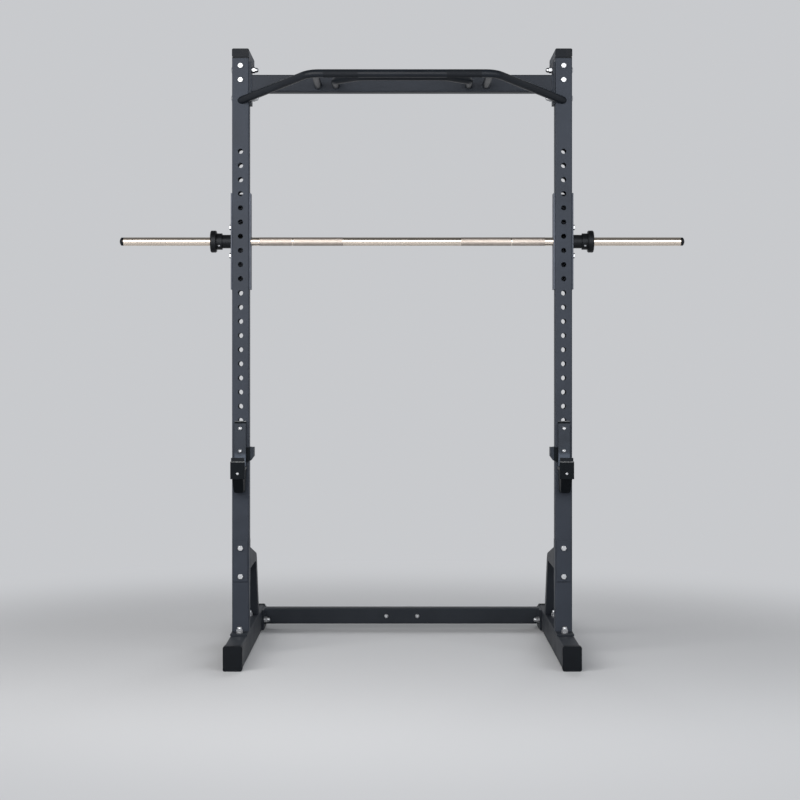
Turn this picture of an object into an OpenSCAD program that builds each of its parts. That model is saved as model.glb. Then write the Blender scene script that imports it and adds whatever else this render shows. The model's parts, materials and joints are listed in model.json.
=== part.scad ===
// Two-post training rack: two uprights on long feet, a multi-grip pull-up unit,
// a turning bar carried through both uprights, and two swing-out bar hooks.
// Millimetres. X to the right, Y to the back, Z up; the origin is on the floor,
// midway between the uprights and midway along the feet.

/* [Frame] */
// Width over the outsides of the two uprights
frame_w = 1200; // [1100:10:1300]
// Height of the top of the arms above the floor
frame_h = 2144; // [2050:1:2250]
// Side of the square tube of the uprights and beams
tube_w = 60; // [56:1:66]
// Wall of the square tube
tube_wall = 3; // [2:0.5:4]
// Outer corner radius of the square tube
tube_r = 5; // [4.5:0.5:7]

/* [Row of holes] */
// Diameter of the holes through the front and rear walls
hole_d = 18; // [17:0.5:22]
// Distance from one hole to the next
hole_pitch = 50; // [46:1:54]
// Height of the lowest hole
hole_first = 632; // [600:1:660]
// Height below which the row of holes ends
hole_row_end = 1800; // [1700:1:1850]

/* [Feet] */
// Length of each foot tube
foot_len = 1120; // [1060:10:1200]
// Width of the foot tube
foot_w = 60; // [56:1:66]
// Height of the foot tube
foot_h = 80; // [76:1:90]
// Distance from the front end of the foot tube to the front of the upright
foot_front = 325; // [300:5:350]
// Thickness of the slip-over caps that the feet stand on
cap_t = 2.5; // [2:0.5:4]
// Thickness of a cap's end wall
cap_end_t = 5; // [4:0.5:8]
// Length that a cap reaches along the foot
cap_len = 22; // [16:1:26]

/* [Base plates and braces] */
// Thickness of the base plate
base_t = 6; // [5:1:10]
// Length of base plate in front of the upright
base_front = 75; // [65:1:85]
// Length of base plate behind the upright
base_back = 436; // [430:1:450]
// Distance from the front bolt to the upright
base_bolt_front = 40; // [34:1:45]
// Distance from the rear bolt to the back of the upright
base_bolt_back = 350; // [340:1:354]
// Height of the brace's outer edge at the upright, above the base plate
brace_h = 292; // [286:1:310]
// Distance that the brace's knee lies behind the upright
brace_knee_back = 312; // [305:1:325]
// Height of the brace's knee above the base plate
brace_knee_h = 238; // [232:1:245]
// Distance from the back of the upright to the back of the brace's leg, at its base
brace_leg_back = 428; // [424:1:430]
// Height of the arch under the brace, above the base plate
brace_arch_h = 216; // [205:1:222]
// Distance from the back of the upright to the front of the leg, at the arch
brace_arch_back = 268; // [250:1:275]
// Distance from the back of the upright to the front of the leg, at its base
brace_leg_front = 374; // [370:1:380]
// Outer radius of the knee
knee_r = 62; // [50:1:70]
// Radius in the corner of the arch
arch_r = 16; // [12:1:25]
// Plate thickness of the brace
brace_t = 4; // [3:0.5:5]
// Height of the clamping plates in front of and behind the upright
clamp_h = 146; // [138:1:160]
// Width of the front clamping plate
clamp_w = 50; // [44:1:54]
// Thickness of the front clamping plate
clamp_t = 4; // [3:0.5:6]
// Height of the clamping plates above the brace
clamp_rise = 29.5; // [24:0.5:36]
// Distance between the two bolts through the clamping plates
clamp_bolt_gap = 100; // [90:1:110]
// Distance from the top of the clamping plates to their upper bolt
clamp_bolt_drop = 28; // [24:1:30]

/* [Top] */
// Height of the arm tube on top of each upright
arm_h = 30; // [28:1:40]
// Length of the arm
arm_len = 250; // [200:5:300]
// Thickness of the plastic cap between upright and arm
seat_t = 4; // [3:0.5:5]
// Length of the arm's plate behind the upright
arm_plate_h = 120; // [110:1:130]
// Thickness of the arm's plate
arm_plate_t = 5; // [4:0.5:8]
// Distance between the two arm bolts
arm_bolt_gap = 50; // [44:1:56]
// Thickness of the caps in the arm's ends
arm_cap_t = 3; // [2:0.5:5]
// Distance from the top of the upright to the middle of the upper beam
beam_drop = 88; // [83:1:90]
// Thickness of the beams' end plates
end_plate_t = 8; // [6:1:10]
// Diameter of the vent in each end plate
vent_d = 10; // [8:1:16]
// Distance between the two bolts of an upper end plate
beam_bolt_gap = 100; // [94:1:106]
// Height of an upper end plate
end_plate_h = 150; // [140:1:160]

/* [Pull-up unit] */
// Outer diameter of the front bar
grip_d = 28; // [27:1:34]
// Outer diameter of the inner bar and the neutral grips
cross_grip_d = 26; // [22:1:27]
// Wall of the pull-up tubes
grip_wall = 3; // [2:0.5:4]
// Distance from the uprights' front to the middle of the front bar
grip_reach = 280; // [240:5:300]
// Distance from the middle to each bend of the front bar
grip_bend_x = 315; // [305:5:330]
// Distance that the front bar's ends lie outside the uprights' inner faces
grip_end_in = 22; // [20:1:24]
// Distance that the front bar's ends lie below its middle
grip_drop = 51; // [42:1:54]
// Radius of the front bar's bends, to the middle of the tube
grip_bend_r = 70; // [50:1:80]
// Distance that the grips lie below the middle of the beam
grip_below = 8; // [6:1:11]
// Distance from the middle to each outer neutral grip
neutral_x = 296; // [288:1:300]
// Distance from the middle to each end of the inner bar
inner_end_x = 233; // [225:1:240]
// Distance from the middle to the inner bar's inner bends
inner_bend_x = 140; // [120:1:150]
// Length of the inner bar's straight legs
inner_leg = 110; // [100:1:120]
// Distance from the uprights' front to the middle of the inner bar
inner_reach = 205; // [195:1:215]
// Radius of the inner bar's bends
inner_bend_r = 45; // [40:1:50]

/* [Floor beam] */
// Height of the floor beam's tube
floor_beam_h = 60; // [50:1:70]
// Distance from the rear end of the foot tubes to the middle of the floor beam
floor_beam_in = 95; // [94:1:115]
// Length of the floor beam's end plates
floor_plate_len = 140; // [134:1:150]
// Height of the floor beam's end plates
floor_plate_h = 76; // [75:0.5:78]
// Distance between the bolts of a floor end plate
floor_bolt_gap = 110; // [106:1:114]
// Distance between the two studs on the front of the floor beam
stud_gap = 120; // [80:5:200]
// Diameter of a stud's head
stud_d = 16; // [12:1:20]
// Height of a stud's head
stud_h = 5; // [4:0.5:8]

/* [Turning bar] */
// Diameter of the bar
bar_d = 30; // [28:1:32]
// Length of the bar with its end caps
bar_len = 2000; // [1900:10:2200]
// Height of the bar's axis
bar_h = 1465; // [1440:1:1490]
// Length of a bar end cap outside the bar
bar_cap_t = 14; // [6:1:18]
// Height of the bracket that holds the bar
bracket_h = 340; // [300:5:380]
// Plate thickness of the bracket
bracket_t = 5; // [4:0.5:8]
// Distance from the upright's front to the bracket's front edge
bracket_set = 7; // [6:1:12]
// Distance between the bracket's bolts
bracket_bolt_gap = 100; // [90:1:120]
// Diameter of the hub where it passes through the upright
hub_d = 40; // [39:1:44]
// Diameter of the hub's shoulder outside the bracket
hub_shoulder_d = 48; // [46:1:54]
// Length of the hub's shoulder
hub_shoulder_len = 31; // [24:1:40]
// Wall of the bush between bar and hub
bush_wall = 2.5; // [2:0.5:3]
// Length of a bush
bush_len = 30; // [20:1:40]
// Diameter of the clamp ring
ring_d = 58; // [56:1:64]
// Length of the clamp ring
ring_len = 20; // [18:1:26]
// Diameter of the stop disc
disc_d = 78; // [70:1:90]
// Thickness of the stop disc
disc_t = 21; // [15:1:25]
// Chamfer round the stop disc's edges
disc_chamfer = 3; // [1:0.5:4]
// Diameter of the clamp ring's set screw
set_screw_d = 8; // [6:1:10]

/* [Bar hooks] */
// Hole of the row that carries the hook's pin, counted from the lowest
hook_row = 3; // [2:1:6]
// Diameter of the hook's pin
hook_pin_d = 16; // [14:0.5:16.5]
// Width of the hook's back plate and its liner
hook_back_w = 40; // [34:1:44]
// Thickness of the hook's back plate
hook_back_t = 8; // [6:1:10]
// Height of the back plate above the pin
hook_top = 49; // [44:1:60]
// Depth of the top of the saddle box below the pin
hook_saddle = 120; // [116:1:130]
// Distance from the upright's front to the front of the saddle box
hook_reach = 120; // [110:1:130]
// Width of the saddle box
hook_box_w = 39; // [36:1:42]
// Width of the saddle box at its lowest edge
hook_tip_w = 33; // [26:1:34]
// Height of the saddle box at its front
hook_nose_h = 29; // [26:1:34]
// Height of the whole saddle box
hook_box_h = 81; // [74:1:86]
// Radius of the lower corners of the saddle box
box_tip_r = 8; // [7:1:12]
// Length of the saddle box's lowest edge
hook_sole = 62; // [50:1:70]
// Plate thickness of the saddle box
hook_wall = 4; // [3:0.5:5]
// Width of the lip plate
lip_w = 50; // [46:1:52]
// Thickness of the lip plate
lip_t = 8; // [6:1:10]
// Height of the lip plate above the saddle box
lip_h = 32; // [28:1:40]
// Chamfer along the top edges of the lip and back plates
plate_chamfer = 2.5; // [1:0.5:4]
// Width of the saddle liner
saddle_w = 46; // [42:1:48]
// Thickness of the plastic liners
liner_t = 10; // [8:1:12]
// Height that the liner stands above the lip plate
liner_over = 12; // [8:1:16]
// Distance that the back liner's top lies below the back plate's top
liner_drop = 9; // [6:1:14]
// Depth of the upper liner screw below the liner's top
hook_screw_drop = 17; // [12:1:22]
// Height of the lower liner screw above the saddle's floor
hook_screw_up = 54; // [40:1:60]
// Depth of the lip's screw below the saddle box's top
lip_screw_drop = 10; // [8:1:12]
// Thickness of the hook's side plate
ear_t = 5; // [4:0.5:6]
// Length of the side plate along the upright's side
ear_len = 50; // [40:1:55]
// Depth of the side plate's top edge below the pin
ear_top = 44; // [42:1:50]
// Height of the side plate beside the upright
ear_h = 47; // [40:1:50]
// Thickness of the plastic bumper on the side plate
bumper_t = 12.5; // [10:0.5:16]
// Clearance between the hook and the upright
hook_gap = 0.3; // [0.2:0.1:0.5]

/* [Fasteners] */
// Thread of the bolts through the uprights
small_bolt_d = 10; // [8:1:11]
// Thread of the bolts that hold feet and beams
large_bolt_d = 12; // [10:1:13]

/* [Hidden] */
$fn = 64;

left = -1;
right = 1;
sides = [left, right];

// Clearances
fit_gap = 0.1;     // a bolt or hub in its drilled hole, on the radius
run_gap = 0.05;    // the bar turning in its bushes, on the radius
seat_gap = 0.02;   // a bush pushed into the hub, on the radius
thread_gap = 0.05; // a nut's bore round its bolt, on the radius
side_gap = 0.5;    // between the turning collar and the hub
plug_gap = 0.5;    // a plastic plug inside its tube
weld_gap = 0.25;   // a grip's notch round the bar that it is welded to
cross_gap = 1;     // between two bolts that cross inside an upright
tool_gap = 2;      // round a washer in the brace's notch

// Uprights
post_x = frame_w / 2 - tube_w / 2;
post_front = -foot_len / 2 + foot_front;
post_mid = post_front + tube_w / 2;
post_back = post_front + tube_w;
post_inner = frame_w / 2 - tube_w;
foot_top = cap_t + foot_h;
post_base = foot_top + base_t;
post_top = frame_h - arm_h - seat_t;
hole_count = floor((hole_row_end - hole_first) / hole_pitch) + 1;
function row_z(i) = hole_first + i * hole_pitch;

// Bolt rows
clamp_top = post_base + brace_h + clamp_rise;
clamp_rows = [clamp_top - clamp_bolt_drop, clamp_top - clamp_bolt_drop - clamp_bolt_gap];
beam_z = post_top - beam_drop;
beam_rows = [beam_z + beam_bolt_gap / 2, beam_z - beam_bolt_gap / 2];
arm_row_top = beam_rows[0] + (large_bolt_d + small_bolt_d) / 2 + cross_gap;
arm_rows = [arm_row_top, arm_row_top - arm_bolt_gap];
bracket_rows = [bar_h + bracket_bolt_gap / 2, bar_h - bracket_bolt_gap / 2];

// Feet and base plates
foot_bolt_ys = [post_front - base_bolt_front, post_back + base_bolt_back];
access_d = 2.5 * large_bolt_d;

// Floor beam
floor_y = foot_len / 2 - floor_beam_in;
floor_z = foot_top - floor_beam_h / 2;
floor_bolt_z = cap_t + foot_h / 2;
floor_bolt_ys = [floor_y - floor_bolt_gap / 2, floor_y + floor_bolt_gap / 2];
foot_inner = post_x - foot_w / 2;
plug_len = 12;

// Pull-up unit
grip_z = beam_z - grip_below;
grip_end_x = post_inner + grip_end_in;
grip_tilt = atan(grip_drop / grip_reach);
grip_slant = norm([grip_reach, grip_drop]);

// Bar and its holder
hub_inner_x = post_inner - bracket_t;
flange_x = post_x + tube_w / 2 + bracket_t;
hub_outer_x = flange_x + hub_shoulder_len;
bush_od = bar_d + 2 * run_gap + 2 * bush_wall;
ring_x = hub_outer_x + side_gap;
disc_x = ring_x + ring_len;
collar_end_x = disc_x + disc_t;
relief = 0.75;
set_socket = 4; // depth of the set screw's socket
cap_dome_r = 0.7 * bar_d;
relief_x = collar_end_x - disc_t / 2;

// Hooks, measured from the pin's axis
hook_z = row_z(hook_row);
hook_back = post_front - hook_gap;
liner_back = hook_back - hook_back_t;
nose_y = post_front - hook_reach;
lip_y = nose_y - lip_t;
saddle_z = hook_z - hook_saddle;
lip_top = saddle_z + lip_h;
liner_top = hook_z + hook_top - liner_drop;
ear_x = tube_w / 2 + hook_gap;
hook_screw_d = 8;
hook_screw_rows = [liner_top - hook_screw_drop, saddle_z + liner_t + hook_screw_up];
hook_thread_end = 3; // left solid in front of the upright, beyond each screw
lip_screw_d = 6;
lip_screw_z = saddle_z - lip_screw_drop;
saddle_r = 10;
ear_chamfer = 12;

// Heads and nuts: width across flats and heights
small_af = 1.7 * small_bolt_d;
small_head = 0.64 * small_bolt_d;
small_nut = 0.8 * small_bolt_d;
small_washer_d = 2 * small_bolt_d;
small_washer_t = 2;
small_grip = small_washer_t + small_nut + 3; // a small bolt beyond its last plate
large_af = 1.58 * large_bolt_d;
large_head = 0.62 * large_bolt_d;
large_washer_d = 2 * large_bolt_d;
large_washer_t = 2.5;
acorn_h = 1.83 * large_bolt_d;
acorn_hex = 0.8 * large_bolt_d;
acorn_cover = 6; // left solid at the top of an acorn nut's thread
large_grip = large_washer_t + acorn_h - acorn_cover - 2; // a large bolt beyond its last plate
button_d = 2 * large_bolt_d;
button_h = 0.4 * large_bolt_d;

// ---- Shapes ----

// A rectangle with round corners, centred
module round_rect(w, h, r) {
    square([w - 2 * r, h], center = true);
    square([w, h - 2 * r], center = true);
    for (x = [-1, 1], y = [-1, 1])
        translate([x * (w / 2 - r), y * (h / 2 - r)]) circle(r);
}

module tube_section(w, h, wall = tube_wall, r = tube_r) {
    difference() {
        round_rect(w, h, r);
        round_rect(w - 2 * wall, h - 2 * wall, r - wall);
    }
}

// An outline in X and Z, carried along +Y
module along_y(len) { rotate([-90, 0, 0]) linear_extrude(len) children(); }

// An outline in Z and Y, carried along +X
module along_x(len) { rotate([0, 90, 0]) linear_extrude(len) children(); }

// An outline drawn in Y and Z, w wide in X and centred
module side_view(w) {
    rotate([90, 0, 90]) linear_extrude(w, center = true) children();
}

// An outline drawn in X and Z, from y back to y + len
module front_view(y, len) {
    translate([0, y + len, 0]) rotate([90, 0, 0]) linear_extrude(len) children();
}

module rod_x(x0, x1, d) { translate([x0, 0, 0]) rotate([0, 90, 0]) cylinder(d = d, h = x1 - x0); }
module soft_rod_x(x0, x1, d, chamfer) {
    rod_x(x0 + chamfer, x1 - chamfer, d);
    translate([x0, 0, 0]) rotate([0, 90, 0])
        cylinder(d1 = d - 2 * chamfer, d2 = d, h = chamfer);
    translate([x1 - chamfer, 0, 0]) rotate([0, 90, 0])
        cylinder(d1 = d, d2 = d - 2 * chamfer, h = chamfer);
}
module rod_y(y0, y1, d) { translate([0, y0, 0]) rotate([-90, 0, 0]) cylinder(d = d, h = y1 - y0); }
module rod_z(z0, z1, d) { translate([0, 0, z0]) cylinder(d = d, h = z1 - z0); }

// What is made for the right-hand side, on the given side
module on_side(side) {
    if (side == left) mirror([1, 0, 0]) children();
    else children();
}

function unit(v) = v / norm(v);
function left_of(v) = [-v.y, v.x];
function turned(v, a) = [v.x * cos(a) - v.y * sin(a), v.x * sin(a) + v.y * cos(a)];
function short_turn(a) = a > 180 ? a - 360 : a < -180 ? a + 360 : a;

// A path of three points moved t to its left
function moved(p, t) =
    let (a = left_of(unit(p[1] - p[0])), b = left_of(unit(p[2] - p[1])))
    [p[0] + t * a, p[1] + t * (a + b) / (1 + a * b), p[2] + t * b];

// A path of three points with its corner rounded to radius r
function rounded(p, r, steps = 10) =
    let (
        a = unit(p[0] - p[1]),
        b = unit(p[2] - p[1]),
        half = acos(a * b) / 2,
        centre = p[1] + unit(a + b) * r / sin(half),
        from = p[1] + a * r / tan(half) - centre,
        to = p[1] + b * r / tan(half) - centre,
        sweep = short_turn(atan2(to.y, to.x) - atan2(from.y, from.x))
    )
    concat([p[0]], [for (i = [0:steps]) centre + turned(from, sweep * i / steps)], [p[2]]);

function backwards(p) = [for (i = [len(p) - 1:-1:0]) p[i]];

// A flat path through the given corners, each rounded to radius r
function bent_path(corners, r, steps = 6) =
    concat([corners[0]], [for (i = [1:len(corners) - 2])
        each arc_points([corners[i - 1], corners[i], corners[i + 1]], r, steps)],
        [corners[len(corners) - 1]]);
function arc_points(p, r, steps) =
    let (all = rounded(p, r, steps)) [for (i = [1:len(all) - 2]) all[i]];

// The path's direction at point i
function heading(path, i) =
    i == 0 ? unit(path[1] - path[0])
    : i == len(path) - 1 ? unit(path[i] - path[i - 1])
    : unit(unit(path[i] - path[i - 1]) + unit(path[i + 1] - path[i]));

// A ring of points round point i. At the path's ends it is drawn out to the plane that
// holds the x axis and leans from z by the angle lean.
function sweep_ring(path, i, d, lean, sides) =
    let (t = heading(path, i), n = left_of(t), at_end = i == 0 || i == len(path) - 1)
    [for (k = [0:sides - 1])
        let (
            q = path[i] + d / 2 * cos(360 * k / sides) * n,
            z = d / 2 * sin(360 * k / sides),
            seat = at_end ? q - t * (q.y + z * tan(lean)) / t.y : q
        )
        [seat.x, seat.y, z]];

// A tube bent in the plane z = 0, with both ends cut to one plane
module swept_tube(path, d, bore, lean = 0, sides = 28) {
    n = len(path);
    outer = [for (i = [0:n - 1]) each sweep_ring(path, i, d, lean, sides)];
    inner = [for (i = [0:n - 1]) each sweep_ring(path, i, bore, lean, sides)];
    function at(skin, i, k) = (skin * n + i) * sides + k % sides;
    walls = [for (i = [0:n - 2], k = [0:sides - 1])
        [at(0, i, k), at(0, i, k + 1), at(0, i + 1, k + 1), at(0, i + 1, k)]];
    bores = [for (i = [0:n - 2], k = [0:sides - 1])
        [at(1, i, k), at(1, i + 1, k), at(1, i + 1, k + 1), at(1, i, k + 1)]];
    rims = [for (k = [0:sides - 1]) each [
        [at(0, 0, k), at(1, 0, k), at(1, 0, k + 1), at(0, 0, k + 1)],
        [at(0, n - 1, k), at(0, n - 1, k + 1), at(1, n - 1, k + 1), at(1, n - 1, k)]]];
    polyhedron(concat(outer, inner), concat(walls, bores, rims));
}

// ---- Fasteners, pointing along +Z with the seat at the origin ----

module hex(af, h) { cylinder(d = af / cos(30), h = h, $fn = 6); }

module hex_head(af, h) {
    translate([0, 0, -h]) intersection() {
        hex(af, h);
        cylinder(d1 = af * 0.94, d2 = af * 0.94 + 4 * h, h = h);
    }
}

module hex_bolt(d, len, af, head) {
    hex_head(af, head);
    cylinder(d = d, h = len);
}

// A domed head with a hex socket
module button_bolt(d, len, head_d = button_d, head_h = button_h) {
    rim = head_h * 0.3;
    difference() {
        union() {
            cylinder(d = d, h = len);
            translate([0, 0, -rim]) cylinder(d = head_d, h = rim);
            translate([0, 0, -head_h * 0.7]) cylinder(d1 = head_d * 0.84, d2 = head_d, h = head_h * 0.4);
            translate([0, 0, -head_h]) cylinder(d1 = head_d * 0.56, d2 = head_d * 0.84, h = head_h * 0.3);
        }
        translate([0, 0, -head_h - 1]) hex(d * 0.6, head_h * 0.6 + 1);
    }
}

module nut(d, af, h) {
    difference() {
        hex(af, h);
        translate([0, 0, -1]) cylinder(r = d / 2 + thread_gap, h = h + 2);
    }
}

module washer(d, od, t) {
    difference() {
        cylinder(d = od, h = t);
        translate([0, 0, -1]) cylinder(r = d / 2 + 4 * fit_gap, h = t + 2);
    }
}

module acorn_nut() {
    dome_r = large_af * 0.45;
    difference() {
        union() {
            intersection() {
                hex(large_af, acorn_hex);
                cylinder(d1 = large_af * 0.97 + 4 * acorn_hex, d2 = large_af * 0.97, h = acorn_hex);
            }
            cylinder(r = dome_r, h = acorn_h - dome_r);
            translate([0, 0, acorn_h - dome_r]) sphere(dome_r);
        }
        translate([0, 0, -1]) cylinder(r = large_bolt_d / 2 + thread_gap, h = acorn_h - acorn_cover + 1);
    }
}

// ---- Uprights and feet ----

module upright(side) {
    translate([side * post_x, post_mid, 0]) difference() {
        translate([0, 0, post_base]) linear_extrude(post_top - post_base)
            tube_section(tube_w, tube_w);
        for (i = [0:hole_count - 1])
            translate([0, 0, row_z(i)]) rod_y(-tube_w, tube_w, hole_d);
        for (z = concat(clamp_rows, arm_rows))
            translate([0, 0, z]) rod_y(-tube_w, tube_w, small_bolt_d + 2 * fit_gap);
        for (z = beam_rows)
            translate([0, 0, z]) rod_x(-tube_w, tube_w, large_bolt_d + 2 * fit_gap);
        for (z = bracket_rows)
            translate([0, 0, z]) on_side(side) rod_x(0, tube_w, small_bolt_d + 2 * fit_gap);
        translate([0, 0, bar_h]) rod_x(-tube_w, tube_w, hub_d + 2 * fit_gap);
    }
}

module upright_cap() {
    inner = tube_w - 2 * tube_wall - 2 * plug_gap;
    translate([0, post_mid, post_top]) linear_extrude(seat_t) round_rect(tube_w, tube_w, tube_r);
    translate([0, post_mid, post_top - plug_len]) linear_extrude(plug_len)
        round_rect(inner, inner, tube_r - tube_wall);
}

module foot(side) {
    translate([side * post_x, 0, 0]) difference() {
        translate([0, -foot_len / 2, cap_t + foot_h / 2])
            along_y(foot_len) tube_section(foot_w, foot_h);
        for (y = foot_bolt_ys) translate([0, y, 0]) {
            rod_z(foot_h / 2, foot_top + 1, large_bolt_d + 2 * fit_gap);
            rod_z(-1, foot_h / 2, access_d);
        }
        for (y = floor_bolt_ys) translate([0, y, floor_bolt_z])
            rod_x(-foot_w, foot_w, large_bolt_d + 2 * fit_gap);
    }
}

// A slip-over cap on the front end of a foot
module foot_cap() {
    w = foot_w + 2 * cap_t;
    h = foot_h + 2 * cap_t;
    translate([0, -foot_len / 2 - cap_end_t, h / 2]) difference() {
        along_y(cap_len + cap_end_t) round_rect(w, h, tube_r + cap_t);
        translate([0, cap_end_t, 0]) along_y(cap_len + 1) round_rect(foot_w, foot_h, tube_r);
    }
}

module base_plate(side) {
    translate([side * post_x, 0, foot_top]) difference() {
        translate([-foot_w / 2, post_front - base_front, 0])
            cube([foot_w, base_front + tube_w + base_back, base_t]);
        for (y = foot_bolt_ys) translate([0, y, 0])
            rod_z(-1, base_t + 1, large_bolt_d + 2 * fit_gap);
    }
}

// The band of the brace's side view, drawn in from its edges by t, beginning at the
// distance start behind the upright
module brace_outline(t, start) {
    outer = [
        [post_back + start, post_base + brace_h],
        [post_back + brace_knee_back, post_base + brace_knee_h],
        [post_back + brace_leg_back, post_base]
    ];
    inner = [
        [post_back + start, post_base + brace_arch_h],
        [post_back + brace_arch_back, post_base + brace_arch_h],
        [post_back + brace_leg_front, post_base]
    ];
    intersection() {
        polygon(concat(
            rounded(moved(outer, -t), knee_r - t),
            backwards(rounded(moved(inner, t), arch_r + t))
        ));
        translate([post_back, post_base]) square([base_back, brace_h + 1]);
    }
}

module brace(side) {
    translate([side * post_x, 0, 0]) difference() {
        union() {
            side_view(tube_w) brace_outline(0, 0);
            translate([-tube_w / 2, post_back, clamp_top - clamp_h])
                cube([tube_w, arm_plate_t, clamp_h]);
        }
        side_view(tube_w - 2 * brace_t) brace_cavity();
        for (z = clamp_rows) translate([0, post_back, z]) {
            rod_y(-1, arm_plate_t + 1, small_bolt_d + 2 * fit_gap);
            rod_y(arm_plate_t, arm_plate_t + small_grip + tool_gap, small_washer_d + 2 * tool_gap);
        }
    }
}

// The hollow of the brace, open at the foot of the leg
module brace_cavity() {
    front = post_back + brace_leg_front + 1.1 * brace_t;
    back = post_back + brace_leg_back - 1.1 * brace_t;
    rise = 2 * brace_t;
    brace_outline(brace_t, arm_plate_t);
    polygon([
        [front, post_base - 1], [back, post_base - 1],
        [back - rise / 2, post_base + rise], [front - rise / 3, post_base + rise]
    ]);
}

module clamp_plate(side) {
    translate([side * post_x, post_front, 0]) difference() {
        translate([-clamp_w / 2, -clamp_t, clamp_top - clamp_h]) cube([clamp_w, clamp_t, clamp_h]);
        for (z = clamp_rows) translate([0, 0, z])
            rod_y(-clamp_t - 1, 1, small_bolt_d + 2 * fit_gap);
    }
}

// ---- Top ----

module top_arm(side) {
    arm_base = post_top + seat_t;
    translate([side * post_x, 0, 0]) {
        translate([0, post_front, arm_base + arm_h / 2])
            along_y(arm_len) tube_section(tube_w, arm_h);
        difference() {
            translate([-tube_w / 2, post_back, arm_base - arm_plate_h])
                cube([tube_w, arm_plate_t, arm_plate_h]);
            for (z = arm_rows) translate([0, post_back, z])
                rod_y(-1, arm_plate_t + 1, small_bolt_d + 2 * fit_gap);
        }
    }
}

// The plastic cap in the front end of an arm; the rear one is its mirror image
module arm_cap() {
    w = tube_w - 2 * tube_wall - 2 * plug_gap;
    h = arm_h - 2 * tube_wall - 2 * plug_gap;
    translate([0, -arm_len / 2, post_top + seat_t + arm_h / 2]) {
        translate([0, -arm_cap_t, 0]) along_y(arm_cap_t) round_rect(tube_w, arm_h, tube_r);
        along_y(plug_len) round_rect(w, h, tube_r - tube_wall);
    }
}

// A plate between a beam and an upright or foot, on the right, drilled for its bolts and
// with a vent into the beam, for its coating
module end_plate(x, y, z, len, h, holes) {
    difference() {
        translate([x - end_plate_t, y - len / 2, z - h / 2]) cube([end_plate_t, len, h]);
        for (p = holes) translate([x, p.x, p.y])
            rod_x(-end_plate_t - 1, 1, large_bolt_d + 2 * fit_gap);
        translate([x, y, z]) rod_x(-end_plate_t - 1, 1, vent_d);
    }
}

module upper_beam() {
    half = post_inner - end_plate_t;
    translate([-half, post_mid, beam_z]) along_x(2 * half) tube_section(tube_w, tube_w);
    for (side = sides) on_side(side)
        end_plate(post_inner, post_mid, beam_z, tube_w, end_plate_h,
            [for (z = beam_rows) [post_mid, z]]);
}

// ---- Pull-up unit ----

module pullup_front_bar() {
    path = bent_path([
        [-grip_end_x, 0], [-grip_bend_x, -grip_slant], [grip_bend_x, -grip_slant], [grip_end_x, 0]
    ], grip_bend_r);
    translate([0, post_front, grip_z - grip_drop]) rotate([-grip_tilt, 0, 0])
        swept_tube(path, grip_d, grip_d - 2 * grip_wall, grip_tilt);
}

module pullup_inner_bar() {
    path = bent_path([
        [-inner_end_x, 0], [-inner_end_x, -inner_leg], [-inner_bend_x, -inner_reach],
        [inner_bend_x, -inner_reach], [inner_end_x, -inner_leg], [inner_end_x, 0]
    ], inner_bend_r);
    translate([0, post_front, grip_z]) swept_tube(path, cross_grip_d, cross_grip_d - 2 * grip_wall);
}

// The bend of the front bar, begun a little early, as a tool that notches the grips
module front_bend(d) {
    half_turn = atan2(grip_slant, grip_end_x - grip_bend_x);
    early = 15;
    translate([0, post_front, grip_z - grip_drop]) rotate([-grip_tilt, 0, 0])
        translate([grip_bend_x - grip_bend_r * tan(half_turn / 2), grip_bend_r - grip_slant, 0])
            rotate([0, 0, -90 - early]) rotate_extrude(angle = early + half_turn)
                translate([grip_bend_r, 0]) circle(d = d);
}

// A straight grip from the beam to the back of the front bar, notched to fit round it
module neutral_grip(side) {
    on_side(side) difference() {
        translate([neutral_x, post_front, grip_z]) difference() {
            rod_y(-grip_reach + grip_d / 7, 0, cross_grip_d);
            rod_y(-grip_reach, 1, cross_grip_d - 2 * grip_wall);
        }
        front_bend(grip_d + 2 * weld_gap);
    }
}

// ---- Floor beam ----

module floor_beam() {
    half = foot_inner - end_plate_t;
    translate([-half, floor_y, floor_z]) along_x(2 * half) tube_section(floor_beam_h, tube_w);
    for (side = sides) on_side(side)
        end_plate(foot_inner, floor_y, floor_bolt_z, floor_plate_len, floor_plate_h,
            [for (y = floor_bolt_ys) [y, floor_bolt_z]]);
}

module stud() {
    translate([0, floor_y - tube_w / 2, floor_z]) {
        rod_y(-stud_h / 2, 0, stud_d);
        translate([0, -stud_h, 0]) rotate([-90, 0, 0])
            cylinder(d1 = stud_d * 0.6, d2 = stud_d, h = stud_h / 2);
    }
}

// ---- Bar and its holder ----

module bar_axis() { translate([0, post_mid, bar_h]) children(); }

module bar_bracket(side) {
    on_side(side) translate([post_x, 0, 0]) difference() {
        translate([0, 0, bar_h - bracket_h / 2]) linear_extrude(bracket_h) difference() {
            translate([-tube_w / 2 - bracket_t, post_front + bracket_set])
                square([tube_w + 2 * bracket_t, tube_w - bracket_set + bracket_t]);
            translate([-tube_w / 2, post_front]) square([tube_w, tube_w]);
        }
        translate([0, post_mid, bar_h]) rod_x(-tube_w, tube_w, hub_d + 2 * fit_gap);
        for (z = bracket_rows) translate([0, post_mid, z])
            rod_x(0, tube_w, small_bolt_d + 2 * fit_gap);
    }
}

module hub(side) {
    on_side(side) bar_axis() difference() {
        union() {
            rod_x(hub_inner_x, hub_outer_x, hub_d);
            rod_x(flange_x, hub_outer_x, hub_shoulder_d);
        }
        rod_x(hub_inner_x - 1, hub_outer_x + 1, bush_od + 2 * seat_gap);
    }
}

module bushes(side) {
    on_side(side) bar_axis() for (x = [hub_inner_x, hub_outer_x - bush_len]) difference() {
        rod_x(x, x + bush_len, bush_od);
        rod_x(x - 1, x + bush_len + 1, bar_d + 2 * run_gap);
    }
}

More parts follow.
